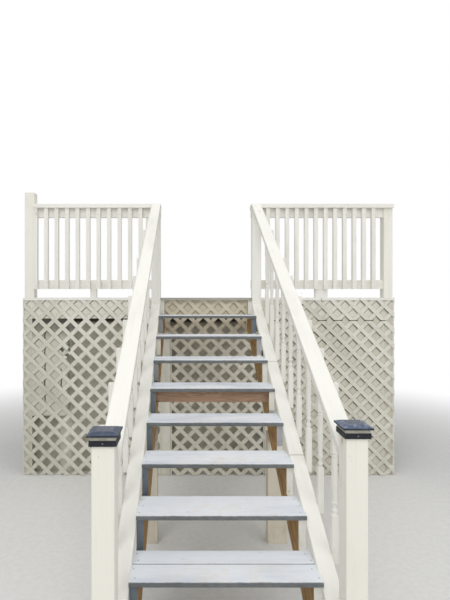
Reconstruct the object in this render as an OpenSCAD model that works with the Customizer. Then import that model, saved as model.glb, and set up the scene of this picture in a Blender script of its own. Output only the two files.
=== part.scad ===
// Straight open-riser timber flight rising to the front edge of a raised deck,
// with flat handrails, turned spindles, newels, guard rails and a lattice skirt.
// +X is to the right of someone going up, +Y is into the deck, +Z is up.

/* [Flight] */
// Height of each rise above the bottom one
rise = 166; // [150:1:190]
// Height of the bottom rise, from the ground to the first tread
bottom_rise = 134; // [120:1:180]
// Going of each step, riser face to riser face
run = 290; // [260:1:310]
// Clear width of the flight, which is also the length of each tread
stair_w = 914; // [800:1:1100]
// Depth of a tread cut from one wide board
tread_d = 235; // [210:1:250]
// Number of low treads made of two narrow boards
split_treads = 3; // [1:1:4]
// Depth of the rear narrow board of a split tread
rear_board_d = 114; // [80:1:118]
// Thickness of the tread and deck boards
board_t = 25; // [20:1:32]
// How far the treads and the deck edge stand forward of the riser cuts
nosing = 29; // [15:1:40]
// Radius of the rounded tread edges
nosing_r = 6; // [2:0.5:9]

/* [Timber] */
// Thickness of all framing boards and rails
two_by = 38; // [32:1:45]
// Width of the narrow framing board that the rails are made of
rail_w = 89; // [80:1:100]
// Width of the boards that the stringers are cut from
stringer_w = 286; // [270:1:300]
// Width of the deck's joists
joist_w = 184; // [140:1:235]
// Side of the square posts
post_w = 89; // [80:1:100]
// Side of the tall porch post at the left end
porch_post_w = 95; // [89:1:120]
// Width of the chamfer on the long edges of posts and rails
ease = 3; // [1:0.5:5]

/* [Stair rails] */
// Height of the newel posts above the ground
newel_h = 1250; // [1150:1:1350]
// How far the newels' mean front face stands forward of the second riser cut
newel_out = 75; // [55:1:85]
// How far the left newel stands forward of the mean, and the right one behind it
newel_skew = 45; // [0:1:50]
// Depth of the handrail's top below the newel's top, at the newel
rail_drop = 107; // [80:1:140]
// Depth of the bottom rail's top below the line of the nosings
shoe_drop = 50; // [40:1:70]

/* [Spindles] */
// Number of turned spindles on each side
spindles = 10; // [6:1:10]
// Distance between spindle centres
spindle_pitch = 238; // [200:1:240]
// Distance from the newel's mean back face to the first spindle's centre
spindle_start = 176; // [140:1:190]
// Side of the square spindle blocks
spindle_w = 32; // [30:1:42]
// Depth of the spindle's cut top below the handrail's top
spindle_drop = 30; // [24:1:36]
// How far the spindle's foot hangs below the bottom rail
spindle_foot = 8; // [0:1:20]
// Length of the square block at the top of a spindle
top_block = 354; // [300:1:380]
// Length of the turned middle of a spindle
turned_l = 312; // [280:1:360]
// Radius of the turned middle where it is thickest
turned_r = 15; // [12:0.5:16]
// Radius of the turned middle at its neck
neck_r = 9; // [6:0.5:10]
// How much wider than the neck the turning is at both ends of its swelling body
cove = 7; // [3:0.5:8]

/* [Guard rails] */
// Height of the guard's cap above the deck
guard_h = 942; // [900:1:1070]
// Gap between the deck and the guard's bottom rail
guard_gap = 90; // [60:1:100]
// Width of the guard's flat cap
cap_w = 140; // [130:1:150]
// Clear width of the left guard bay
left_bay = 1189; // [1000:1:1300]
// Clear width of the right guard bay
right_bay = 1248; // [1100:1:1300]
// Distance between baluster centres in the left bay
left_pitch = 105.5; // [98:0.5:110]
// Distance between baluster centres in the right bay
right_pitch = 96.5; // [90:0.5:102]
// Distance from the end post to the nearest baluster's centre
right_start = 109; // [80:1:120]
// Side of the square balusters
baluster_w = 38; // [32:1:38]
// Width of the block under the left bay's rail; the right one is twice as wide
block_w = 64; // [45:1:80]

/* [Post caps] */
// Side of the skirt that fits over a newel
cap_skirt = 106; // [104:1:112]
// Depth that the skirt reaches down over the newel
cap_reach = 15; // [10:1:25]
// Height of the whole skirt band
cap_band_h = 22; // [21:1:30]
// Side of the cap's top plate
cap_plate = 121; // [115:1:130]
// Height of the clear strip under the plate
cap_lens_h = 15; // [8:1:18]
// How far the clear strip stands inside the skirt's faces
cap_lens_in = 3; // [1:0.5:5]
// Thickness of the plate's rim
cap_rim_t = 7; // [5:1:10]
// Rise of the plate from its rim to the panel
cap_dome_h = 9; // [6:1:16]
// Side of the square panel on top
cap_panel = 72; // [60:1:84]

/* [Lattice] */
// Width of a lattice slat
slat_w = 38; // [30:1:42]
// Gap between the slats of the left panel, square to them
left_slat_gap = 75; // [60:1:80]
// Gap between the slats of the centre panel
centre_slat_gap = 71; // [60:1:80]
// Gap between the slats of the right panel and its strip
right_slat_gap = 73; // [60:1:80]
// Thickness of one layer of slats
slat_t = 9; // [8:0.5:11]
// Height of the separate strip at the top of the right-hand lattice
strip_h = 200; // [180:1:230]
// Gap between that strip and the panel below it
strip_gap = 8; // [4:1:15]
// Gap under the lattice
lattice_gap = 5; // [2:1:40]
// Width of the strips that tie the slats' ends
edge_w = 14; // [8:1:30]
// Distance of the left panel's first opening from the panel's end
left_phase_x = 80; // [0:1:160]
// Distance of the left panel's first opening from the panel's top
left_phase_z = 36; // [0:1:160]
// Distance of the centre panel's first opening from the left stringer
centre_phase_x = 80; // [0:1:160]
// Distance of the centre panel's first opening from the panel's top
centre_phase_z = 74; // [0:1:160]
// Distance of the right panel's first opening from its left edge
right_phase_x = 96; // [0:1:160]
// Distance of the right strip's first opening from its top
right_phase_z = 52; // [0:1:160]
// Thickness of the boards behind the closed parts of the lattice
backing_t = 12; // [9:1:16]
// Width of the closed part at the left end of the left panel
backing_w = 330; // [250:1:380]
// Height of the opening under that closed part
backing_low = 600; // [400:1:800]

/* [Deck] */
// Width of a deck board
deck_board_w = 140; // [130:1:145]
// Gap between deck boards
deck_gap = 5; // [3:0.5:8]
// Number of deck boards, front to back
deck_rows = 8; // [5:1:10]
// Overhang of the deck boards past the rear joist
rear_overhang = 26; // [15:1:40]
// Distance between joist centres
joist_pitch = 406; // [380:1:420]
// How far the deck and the lattice run past the end posts
deck_side = 20; // [5:1:40]
// How far the left middle leg's outer face stands inside the flight's side
left_leg_in = 6; // [4:1:12]
// Gap between the right rails and the right middle leg
right_leg_out = 50; // [40:1:70]
// How far the porch post stands above the guard's cap
porch_post_up = 120; // [20:1:400]

/* [Under the flight] */
// Distance from the riser cut above the spreader to its face
spreader_back = 38; // [20:1:60]
// Distance of the props' front face in front of the same riser cut
prop_front = 40; // [20:1:60]
// Width of the props, across the flight
prop_w = 140; // [120:1:142]
// How far the props reach inside the stringers
prop_in = 15; // [5:1:30]

/* [Hidden] */
// Rises from the ground to the deck; each tread below the deck is a node
rises = 11;

// Step that the newels stand beside, and tread that the spreader and props are under
newel_step = 2;
prop_step = 7;

// Clearance between pieces that pass each other
clear = 2;
// Clearance of a post cap on its newel
cap_fit = 0.5;
// Small overlap of the two lattice layers, which are stapled together
weld = 0.5;

half_w = stair_w / 2;
deck_h = bottom_rise + (rises - 1) * rise;
pitch_slope = rise / run;
pitch_angle = atan(pitch_slope);
// Riser cut and tread level of step k, counted from the ground; the deck is step number rises
function riser_y(k) = -(rises - k) * run;
function tread_z(k) = bottom_rise + (k - 1) * rise;
function nosing_line(y) = deck_h + (y + nosing) * pitch_slope;
function stringer_edge(y) = deck_h - board_t + y * pitch_slope;
function stringer_under(y) = stringer_edge(y) - stringer_w / cos(pitch_angle);

// Deck frame: the rim's face, where the stringers end
rim_y = two_by;
lattice_t = 2 * slat_t;
joist_top = deck_h - board_t;
joist_low = joist_top - joist_w;
deck_back = -nosing + deck_rows * (deck_board_w + deck_gap) - deck_gap;
rear_rim_y = deck_back - rear_overhang - two_by;
rail_in = half_w;
rail_out = half_w + rail_w;
left_post_in = -(rail_out + left_bay);
left_end = left_post_in - porch_post_w - deck_side;
right_post_in = rail_out + right_bay;
right_end = right_post_in + post_w + deck_side;
left_leg_x = -half_w + left_leg_in;
right_leg_x = rail_out + right_leg_out;
// Front of the deck boards beside the flight, and level where the lattice makes way for it
bay_edge = rim_y - lattice_t - clear;
head_low = stringer_under(rim_y - lattice_t) - clear;

// Guard and handrail levels
guard_top = deck_h + guard_h;
guard_under = guard_top - two_by;
guard_y = rim_y;
cap_front = guard_y + post_w - cap_w;
top_post_y = rim_y - post_w;
newel_front = riser_y(newel_step) - newel_out;
newel_back = newel_front + post_w;
hand_low = newel_h - rail_drop;
hand_slope = (guard_top - hand_low) / (cap_front - newel_back);
hand_angle = atan(hand_slope);
function hand_top(y) = guard_top + (y - cap_front) * hand_slope;
function hand_under(y) = hand_top(y) - two_by / cos(hand_angle);
function shoe_top(y) = nosing_line(y) - shoe_drop;
function shoe_under(y) = shoe_top(y) - two_by / cos(pitch_angle);
function newel_y(side) = newel_front + side * newel_skew;

// The whole is moved so that its ground box is centred on the origin
front_y = riser_y(1) - nosing;
centre = [(left_end + right_end) / 2, (front_y + deck_back) / 2, 0];

paint = [0.93, 0.93, 0.90];
tread_paint = [0.74, 0.75, 0.80];
slate = [0.42, 0.45, 0.50];
bare = [0.62, 0.45, 0.30];
black = [0.06, 0.07, 0.10];
cream = [0.90, 0.88, 0.80];

module placed() { translate(-centre) children(); }

// Box from a low corner to a high corner
module block(low, high) { translate(low) cube(high - low); }

// Rectangle with its four corners chamfered
module eased(w, h) {
    polygon([[ease, 0], [w - ease, 0], [w, ease], [w, h - ease],
             [w - ease, h], [ease, h], [0, h - ease], [0, ease]]);
}

// Outline in the YZ plane, given thickness along X from x
module side_plate(x, t, points) {
    translate([x, 0, 0]) rotate([90, 0, 90]) linear_extrude(t) polygon(points);
}

// Upright square post with eased edges
module post(x, y, w, low, high) {
    translate([x, y, low]) linear_extrude(high - low) eased(w, w);
}

// Tread board across the flight, rounded along its front edge
module tread_board(y, z, depth) {
    translate([-half_w, y, z]) rotate([90, 0, 90]) linear_extrude(stair_w) union() {
        translate([nosing_r, -board_t]) square([depth - nosing_r, board_t]);
        translate([0, nosing_r - board_t]) square([depth, board_t - 2 * nosing_r]);
        for (v = [-nosing_r, nosing_r - board_t])
            translate([nosing_r, v]) circle(r = nosing_r, $fn = 24);
    }
}

module tread(k) {
    front = riser_y(k) - nosing;
    color(tread_paint) {
        if (k <= split_treads) {
            tread_board(front, tread_z(k), deck_board_w);
            tread_board(front + deck_board_w + deck_gap, tread_z(k), rear_board_d);
        } else {
            tread_board(front, tread_z(k), tread_d);
        }
    }
}

// Sawtooth stringer: riser and tread cuts above, the board's own edge below
module stringer(side) {
    top_cuts = [for (k = [1:rises]) each [
        [riser_y(k), k == 1 ? 0 : tread_z(k - 1) - board_t],
        [riser_y(k), tread_z(k) - board_t]]];
    foot_y = riser_y(1) - stringer_under(riser_y(1)) / pitch_slope;
    outline = concat(top_cuts, [[rim_y, joist_top], [rim_y, stringer_under(rim_y)], [foot_y, 0]]);
    color(slate) side_plate(side > 0 ? half_w - two_by : -half_w, two_by, outline);
}

module spreader() {
    y = riser_y(prop_step) + spreader_back;
    z = tread_z(prop_step) - board_t;
    inner = half_w - two_by;
    color(bare) block([-inner, y, z - rail_w], [inner, y + two_by, z]);
}

// Props under the stringers, cut to the slope of their lower edge
module props() {
    y = riser_y(prop_step) - prop_front;
    outline = [[y, 0], [y + post_w, 0], [y + post_w, stringer_under(y + post_w)], [y, stringer_under(y)]];
    inner = half_w - two_by - prop_in;
    color(paint) for (x = [-inner - prop_w, inner]) side_plate(x, prop_w, outline);
}

module newel(side) {
    x = side > 0 ? rail_in : -rail_out;
    color(paint) post(x, newel_y(side), post_w, 0, newel_h);
}

// Places a child on the top centre of both newels
module on_newels() {
    for (side = [-1, 1])
        translate([side * (rail_in + post_w / 2), newel_y(side) + post_w / 2, newel_h]) children();
}

module square_block(w, low, high) { translate([-w / 2, -w / 2, low]) cube([w, w, high - low]); }

module post_cap_skirts() {
    color(black) on_newels() difference() {
        square_block(cap_skirt, -cap_reach, cap_band_h - cap_reach);
        square_block(post_w + 2 * cap_fit, -cap_reach - 1, 0);
    }
}

module post_cap_lenses() {
    low = cap_band_h - cap_reach;
    color(cream) on_newels() square_block(cap_skirt - 2 * cap_lens_in, low, low + cap_lens_h);
}

// Plate with a square rim, four sloping faces and a flat panel
module post_cap_plates() {
    low = cap_band_h - cap_reach + cap_lens_h;
    r = cap_plate / 2;
    p = cap_panel / 2;
    outline = [[-r, 0], [r, 0], [r, cap_rim_t], [p, cap_rim_t + cap_dome_h],
               [-p, cap_rim_t + cap_dome_h], [-r, cap_rim_t]];
    color(black) on_newels() translate([0, 0, low]) intersection() {
        translate([0, r, 0]) rotate([90, 0, 0]) linear_extrude(cap_plate) polygon(outline);
        translate([-r, 0, 0]) rotate([90, 0, 90]) linear_extrude(cap_plate) polygon(outline);
    }
}

// Flat board laid on a slope between two plumb cuts
module sloping_rail(side, y0, y1, top0, slope) {
    x = side > 0 ? rail_in : -rail_out;
    angle = atan(slope);
    past = rail_w;
    length = (y1 - y0 + 2 * past) / cos(angle);
    intersection() {
        translate([x, y0 - past, top0 - past * slope])
            rotate([angle, 0, 0]) translate([0, length, -two_by])
                rotate([90, 0, 0]) linear_extrude(length) eased(rail_w, two_by);
        block([x - 1, y0, 0], [x + rail_w + 1, y1, guard_top + rail_w]);
    }
}

module handrail(side) {
    y0 = newel_y(side) + post_w;
    color(paint) sloping_rail(side, y0, cap_front, hand_top(y0), hand_slope);
}

module bottom_rail(side) {
    y0 = newel_y(side) + post_w;
    color(paint) sloping_rail(side, y0, top_post_y, shoe_top(y0), pitch_slope);
}

// Pieces of the turned middle's half outline, each a list of [radius, height]
function bead(z, h, base, r) = [for (a = [0:45:180]) [base + (r - base) * sin(a), z + h * (1 - cos(a)) / 2]];
function swell(z, h, r0, r1) = [for (i = [0:4]) [r0 + (r1 - r0) * (1 - cos(45 * i)) / 2, z + h * i / 4]];

// Turned middle from its foot up: bead, neck, thin ring, swelling body, bead
module turned_middle() {
    shoulder = spindle_w / 2 - 1;
    root = neck_r + cove / 2;
    outline = concat(
        [[0, -1], [shoulder, -1], [shoulder, 1]],
        bead(0.027 * turned_l, 0.08 * turned_l, neck_r, turned_r - 1),
        [[neck_r, 0.144 * turned_l]],
        bead(0.176 * turned_l, 0.0375 * turned_l, root, turned_r),
        swell(0.235 * turned_l, 0.29 * turned_l, root, turned_r),
        [[turned_r, 0.915 * turned_l]],
        bead(0.925 * turned_l, 0.055 * turned_l, root, turned_r),
        [[shoulder, turned_l - 1], [shoulder, turned_l + 1], [0, turned_l + 1]]);
    rotate_extrude($fn = 24) polygon(outline);
}

// Turned spindle with square ends, cut to reach both rails
module spindle(y) {
    top = hand_top(y) - spindle_drop;
    low = shoe_under(y) - spindle_foot;
    turned_low = top - top_block - turned_l;
    square_block(spindle_w, low, turned_low);
    translate([0, 0, turned_low]) turned_middle();
    square_block(spindle_w, turned_low + turned_l, top);
}

module stair_spindles(side) {
    color(paint) for (i = [0:spindles - 1]) {
        y = newel_back + spindle_start + i * spindle_pitch;
        translate([side * (rail_out + spindle_w / 2), y, 0]) spindle(y);
    }
}

// Post at the head of the stair rails, cut to the handrail and the guard's cap
module top_post(side) {
    y0 = top_post_y;
    y1 = top_post_y + post_w;
    x = side > 0 ? rail_in : -rail_out;
    outline = [[y0, joist_low], [y1, joist_low], [y1, guard_under], [cap_front, guard_under],
               [cap_front, hand_under(cap_front)], [y0, hand_under(y0)]];
    color(paint) side_plate(x, post_w, outline);
}

module guard_cap(side) {
    x0 = side > 0 ? rail_in : left_post_in;
    x1 = side > 0 ? right_post_in + post_w : -rail_in;
    color(paint) block([x0, cap_front, guard_under], [x1, cap_front + cap_w, guard_top]);
}

module guard_rails() {
    color(paint) for (low = [deck_h + guard_gap, guard_under - rail_w]) {
        block([left_post_in, guard_y, low], [-rail_in, guard_y + two_by, low + rail_w]);
        block([rail_in, guard_y, low], [right_post_in, guard_y + two_by, low + rail_w]);
    }
}

module guard_baluster(x) {
    block([x - baluster_w / 2, guard_y - baluster_w, deck_h + guard_gap - clear],
          [x + baluster_w / 2, guard_y, guard_under]);
}

// Balusters counted from the porch post
module guard_balusters_left() {
    count = floor((left_bay - baluster_w) / left_pitch);
    color(paint) for (i = [0:count]) guard_baluster(left_post_in + baluster_w / 2 + i * left_pitch);
}

// Balusters counted from the end post
module guard_balusters_right() {
    count = floor((right_bay - right_start - baluster_w / 2) / right_pitch);
    color(paint) for (i = [0:count]) guard_baluster(right_post_in - right_start - i * right_pitch);
}

module guard_block(x, w) {
    block([x - w / 2, guard_y, deck_h], [x + w / 2, guard_y + two_by, deck_h + guard_gap]);
}

module guard_blocks() {
    color(paint) {
        guard_block((left_post_in - rail_out) / 2, block_w);
        guard_block((rail_out + right_post_in) / 2, 2 * block_w);
    }
}

module porch_post() {
    color(paint) post(left_post_in - porch_post_w, bay_edge, porch_post_w, deck_h, guard_top + porch_post_up);
}

module end_post() {
    color(paint) post(right_post_in, bay_edge, post_w, deck_h, guard_under);
}

// One layer of slats across a panel, leaning one way or the other around an opening's centre
module slat_layer(low, high, lean, gap, hole) {
    pitch = (slat_w + gap) * sqrt(2);
    width = slat_w * sqrt(2);
    reach = high[1] - low[1];
    foot = hole[0] + lean * (low[1] - hole[1]);
    count = ceil((high[0] - low[0] + 2 * reach) / pitch) + 1;
    intersection() {
        translate(low) square(high - low);
        for (i = [-count:count]) {
            x = foot + (i + 0.5) * pitch;
            polygon([[x - width / 2, low[1]], [x + width / 2, low[1]],
                     [x + width / 2 + lean * reach, high[1]], [x - width / 2 + lean * reach, high[1]]]);
        }
    }
}

// Lattice panel of two crossed layers on the rim's face, from a low corner to a high one in XZ.
// Edge strips in the rear layer tie the slats' ends, each given as a low corner and a high one.
module lattice(low, high, gap, hole, strips) {
    color(paint) for (layer = [0, 1])
        translate([0, rim_y - layer * slat_t, 0]) rotate([90, 0, 0])
            linear_extrude(slat_t + (layer == 0 ? weld : 0)) union() {
                slat_layer(low, high, layer == 0 ? 1 : -1, gap, hole);
                if (layer == 0) for (strip = strips) translate(strip[0]) square(strip[1] - strip[0]);
            }
}

// Edge strips down both ends of a plain panel
function end_strips(low, high) = [[low, [low[0] + edge_w, high[1]]], [[high[0] - edge_w, low[1]], high]];

// Box across the lattice's plane
module lattice_cut(x0, x1, z0, z1) { block([x0, -rail_w, z0], [x1, rim_y + two_by, z1]); }

module lattice_left() {
    low = [left_end, lattice_gap];
    high = [left_leg_x - clear, joist_top];
    x = -rail_out - clear;
    strips = [[low, [low[0] + edge_w, high[1]]],
              [[high[0] - edge_w, low[1]], [high[0], head_low]],
              [[x - edge_w, head_low - edge_w], [high[0], head_low]],
              [[x - edge_w, head_low - edge_w], [x, high[1]]]];
    difference() {
        lattice(low, high, left_slat_gap, [low[0] + left_phase_x, high[1] - left_phase_z], strips);
        lattice_cut(x, 0, head_low, deck_h);
    }
}

module lattice_centre() {
    inner = half_w - two_by - clear;
    low = [-inner, lattice_gap];
    high = [right_leg_x - clear, joist_top];
    x = left_leg_x + post_w + clear;
    strips = [[[x, low[1]], [x + edge_w, head_low]],
              [[-inner, head_low], [x + edge_w, head_low + edge_w]],
              [[-inner, head_low], [-inner + edge_w, high[1]]],
              [[inner - edge_w, head_low - edge_w], [inner, high[1]]],
              [[inner - edge_w, head_low - edge_w], [high[0], head_low]],
              [[high[0] - edge_w, low[1]], [high[0], head_low]]];
    difference() {
        lattice(low, high, centre_slat_gap, [low[0] + centre_phase_x, high[1] - centre_phase_z], strips);
        lattice_cut(-half_w, x, 0, head_low);
        lattice_cut(inner, right_leg_x, head_low, deck_h);
    }
}

// Centre of an opening in the right-hand lattice
right_hole = [right_leg_x + post_w + right_phase_x, joist_top - right_phase_z];

module lattice_right_strip() {
    low = [right_leg_x + post_w + clear, joist_top - strip_h];
    high = [right_end, joist_top];
    lattice(low, high, right_slat_gap, right_hole, end_strips(low, high));
}

module lattice_right() {
    low = [right_leg_x + post_w + clear, lattice_gap];
    high = [right_end, joist_top - strip_h - strip_gap];
    lattice(low, high, right_slat_gap, right_hole, end_strips(low, high));
}

// Plain boards between the panels, in front of the middle legs
module lattice_boards() {
    y = rim_y - lattice_t;
    color(paint) {
        block([left_leg_x, y, lattice_gap], [left_leg_x + post_w, rim_y, head_low]);
        block([right_leg_x, y, lattice_gap], [right_leg_x + post_w, rim_y, joist_top]);
        block([rail_out + clear, y, head_low], [right_leg_x + clear, rim_y, joist_top]);
    }
}

// Boards that close the right panel and the upper left end from behind,
// and a sheet behind the legs that closes the left and centre panels
module backing() {
    sheet_y = rim_y + post_w;
    color(paint) {
        block([left_end, sheet_y, lattice_gap], [right_leg_x + post_w, sheet_y + backing_t, joist_low]);
        block([left_end + post_w, rim_y, backing_low], [left_end + post_w + backing_w, rim_y + backing_t, joist_low]);
        block([right_leg_x + post_w, rim_y, lattice_gap], [right_end - post_w, rim_y + backing_t, joist_low]);
    }
}

module rim_joists() {
    color(bare) for (y = [rim_y, rear_rim_y]) block([left_end, y, joist_low], [right_end, y + two_by, joist_top]);
}

module joist(x) { block([x, rim_y + two_by, joist_low], [x + two_by, rear_rim_y, joist_top]); }

module joists() {
    inner = ceil((left_end + 2 * two_by) / joist_pitch);
    outer = floor((right_end - 3 * two_by) / joist_pitch);
    color(bare) {
        for (i = [inner:outer]) joist(i * joist_pitch - two_by / 2);
        joist(left_end);
        joist(right_end - two_by);
    }
}

// Deck boards: the front ones are let in around the top posts
module deck_boards() {
    row = deck_board_w + deck_gap;
    back = deck_board_w - nosing;
    behind = rim_y + clear;
    color(tread_paint) translate([0, 0, joist_top]) {
        linear_extrude(board_t) {
            translate([-half_w + clear, -nosing]) square([stair_w - 2 * clear, deck_board_w]);
            polygon([[rail_in, behind], [rail_out + clear, behind], [rail_out + clear, bay_edge],
                     [right_end, bay_edge], [right_end, back], [rail_in, back]]);
            polygon([[-rail_in, behind], [-rail_in, back], [left_end, back],
                     [left_end, bay_edge], [-rail_out - clear, bay_edge], [-rail_out - clear, behind]]);
        }
        for (i = [1:deck_rows - 1])
            block([left_end, -nosing + i * row, 0], [right_end, -nosing + i * row + deck_board_w, board_t]);
    }
}

module legs() {
    color(bare) for (y = [rim_y, rear_rim_y + two_by - post_w])
        for (x = [left_end, left_leg_x, right_leg_x, right_end - post_w]) post(x, y, post_w, 0, joist_low);
}

placed() tread(1);  // tread_1
placed() tread(2);  // tread_2
placed() tread(3);  // tread_3
placed() tread(4);  // tread_4
placed() tread(5);  // tread_5
placed() tread(6);  // tread_6
placed() tread(7);  // tread_7
placed() tread(8);  // tread_8
placed() tread(9);  // tread_9
placed() tread(10);  // tread_10
placed() stringer(-1);  // stringer_left
placed() stringer(1);  // stringer_right
placed() spreader();
placed() props();
placed() newel(-1);  // newel_left
placed() newel(1);  // newel_right
placed() post_cap_skirts();
placed() post_cap_lenses();
placed() post_cap_plates();
placed() handrail(-1);  // handrail_left
placed() handrail(1);  // handrail_right
placed() bottom_rail(-1);  // bottom_rail_left
placed() bottom_rail(1);  // bottom_rail_right
placed() stair_spindles(-1);  // spindles_left
placed() stair_spindles(1);  // spindles_right
placed() top_post(-1);  // top_post_left
placed() top_post(1);  // top_post_right
placed() guard_cap(-1);  // guard_cap_left
placed() guard_cap(1);  // guard_cap_right
placed() guard_rails();
placed() guard_balusters_left();
placed() guard_balusters_right();
placed() guard_blocks();
placed() porch_post();
placed() end_post();
placed() lattice_left();
placed() lattice_centre();
placed() lattice_right_strip();
placed() lattice_right();
placed() lattice_boards();
placed() backing();
placed() rim_joists();
placed() joists();
placed() deck_boards();
placed() legs();
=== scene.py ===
import logging
import math
from collections.abc import Callable
from dataclasses import dataclass
from enum import Enum

import bmesh
import bpy
from mathutils import Matrix, Vector


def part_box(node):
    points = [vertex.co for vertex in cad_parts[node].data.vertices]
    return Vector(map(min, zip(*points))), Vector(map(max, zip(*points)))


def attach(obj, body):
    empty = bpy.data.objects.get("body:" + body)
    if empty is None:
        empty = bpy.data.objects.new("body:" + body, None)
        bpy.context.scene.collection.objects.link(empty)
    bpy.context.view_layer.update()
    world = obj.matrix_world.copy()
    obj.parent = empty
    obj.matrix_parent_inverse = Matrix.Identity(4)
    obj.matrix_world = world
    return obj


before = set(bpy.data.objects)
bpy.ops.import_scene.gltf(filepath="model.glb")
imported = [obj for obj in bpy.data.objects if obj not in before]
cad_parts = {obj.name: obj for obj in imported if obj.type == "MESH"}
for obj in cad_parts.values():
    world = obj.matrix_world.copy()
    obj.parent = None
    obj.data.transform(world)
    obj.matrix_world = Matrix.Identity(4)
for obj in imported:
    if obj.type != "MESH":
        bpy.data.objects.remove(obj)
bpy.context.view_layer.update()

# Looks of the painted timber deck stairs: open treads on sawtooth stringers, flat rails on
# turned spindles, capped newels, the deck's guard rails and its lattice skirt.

log = logging.getLogger("deck_stairs")

Colour = tuple[float, float, float, float]
Place = tuple[float, float, float]
Spots = list[tuple[Vector, Vector]]

MM = 0.001
# The frame's origin, seen from the flight's centre line, the last riser and the ground
ORIGIN = Vector((26.5, -901.5, 0.0)) * MM

# The flight's own sizes, in millimetres
RISE, GOING = 166, 290
FIRST_TREAD_TOP, FIRST_TREAD_FRONT = 134, -2929
NOSING, DECK_TOP, DECK_PITCH = 29, 1794, 145
# Where the handrails' top faces start, and how far they run and climb
RAIL_FRONT, RAIL_FOOT, RAIL_RUN, RAIL_CLIMB = -2596, 1143, 2583, 1593
STAIR_SLOPE = math.atan2(RISE, GOING)
HANDRAIL_SLOPE = math.atan2(RAIL_CLIMB, RAIL_RUN)
# The front face of the lattice and the plane where its two layers of slats meet
LATTICE_FRONT, LATTICE_MIDDLE = 20, 29

UP, FORWARD = Vector((0, 0, 1)), Vector((0, -1, 0))


def spot(x: float, y: float, z: float) -> Vector:
    """The frame's place of millimetres right of the centre line, behind the last riser and up."""
    return Vector((x, y, z)) * MM - ORIGIN


def frame_x(x: float) -> float:
    """The frame's X in metres, from millimetres right of the flight's centre line."""
    return spot(x, 0, 0).x


def frame_y(y: float) -> float:
    """The frame's Y in metres, from millimetres behind the last riser."""
    return spot(0, y, 0).y


def shade(red: int, green: int, blue: int) -> Colour:
    """The linear colour, with full alpha, of a paint on the usual 0 to 255 scale."""
    parts = [v / 255 for v in (red, green, blue)]
    return (*(v / 12.92 if v <= 0.04045 else ((v + 0.055) / 1.055) ** 2.4 for v in parts), 1.0)


class Grain(Enum):
    """Which way the boards of a piece run."""

    ACROSS = "along X"
    INTO = "along Y"
    UP = "along Z"
    STAIR = "up the flight"
    HANDRAIL = "up the handrail"
    SLATS = "both ways across the lattice"


def math_step(operation: str, flipped: bool = False) -> Callable[..., "Value"]:
    """Makes a method that adds one Math node.

    Args:
        operation: The node's operation.
        flipped: True where the other term comes first.

    Returns:
        The method.
    """
    def step(self: "Value", *others: "Value | float") -> "Value":
        """Adds the node on this value and the others."""
        terms = (*others, self) if flipped else (self, *others)
        inputs = dict(enumerate(terms))
        return self.nodes.node("ShaderNodeMath", {"operation": operation}, inputs)
    return step


class Value:
    """A node's socket that takes part in Python arithmetic."""

    __add__ = math_step("ADD")
    __radd__ = math_step("ADD", flipped=True)
    __sub__ = math_step("SUBTRACT")
    __rsub__ = math_step("SUBTRACT", flipped=True)
    __mul__ = math_step("MULTIPLY")
    __rmul__ = math_step("MULTIPLY", flipped=True)
    __truediv__ = math_step("DIVIDE")
    floor = math_step("FLOOR")
    fraction = math_step("FRACT")
    size = math_step("ABSOLUTE")
    sine = math_step("SINE")
    above = math_step("GREATER_THAN")
    most = math_step("MAXIMUM")

    def __init__(self, nodes: "Nodes", socket: bpy.types.NodeSocket) -> None:
        """Wraps one output socket of a tree."""
        self.nodes = nodes
        self.socket = socket

    def ramp(self, low: float, high: float) -> "Value":
        """Smooth step from 0 at one level to 1 at another.

        Args:
            low: Where the step starts.
            high: Where it ends, which may be the lower number.

        Returns:
            The step, held between 0 and 1.
        """
        flip = low > high
        ends = {"From Min": min(low, high), "From Max": max(low, high),
                "To Min": float(flip), "To Max": float(not flip)}
        return self.nodes.node("ShaderNodeMapRange", {"interpolation_type": "SMOOTHSTEP"},
                               {"Value": self, **ends})


class Nodes:
    """A tree of shader nodes."""

    def __init__(self, tree: bpy.types.NodeTree) -> None:
        """Takes a tree and empties it."""
        self.tree = tree
        self.tree.nodes.clear()

    def node(self, kind: str, settings: dict | None = None, inputs: dict | None = None,
             output: int | str = 0) -> Value:
        """Adds one node.

        Args:
            kind: The node's type.
            settings: Its properties.
            inputs: Numbers, colours or values for its sockets.
            output: Which output is wanted.

        Returns:
            That output.
        """
        made = self.tree.nodes.new(kind)
        for key, setting in (settings or {}).items():
            setattr(made, key, setting)
        for key, value in (inputs or {}).items():
            if isinstance(value, Value):
                self.tree.links.new(value.socket, made.inputs[key])
            else:
                made.inputs[key].default_value = value
        return Value(self, made.outputs[output])

    def other(self, value: Value, output: int | str) -> Value:
        """Another output of the node that a value comes from."""
        return Value(self, value.socket.node.outputs[output])

    def end(self, kind: str, shader: Value) -> None:
        """Joins a shader to the tree's output, of kind Material or World."""
        made = self.tree.nodes.new(f"ShaderNodeOutput{kind}")
        self.tree.links.new(shader.socket, made.inputs["Surface"])


@dataclass(frozen=True)
class Board:
    """Coordinates of a board in metres: along its grain, across its face and through it."""

    graph: "Graph"
    along: Value
    across: Value
    through: Value

    def stretched(self, along: float, across: float) -> Value:
        """A vector that repeats so often per metre along the grain and the other two ways."""
        parts = {0: self.along * along, 1: self.across * across, 2: self.through * across}
        return self.graph.node("ShaderNodeCombineXYZ", inputs=parts)

    def noise(self, along: float, across: float, detail: float = 3.0,
              roughness: float = 0.55, distortion: float = 0.0) -> Value:
        """Noise drawn out along the grain, with the arguments of stretched() and Graph.noise()."""
        return self.graph.noise(self.stretched(along, across), 1.0, detail, roughness, distortion)


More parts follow.
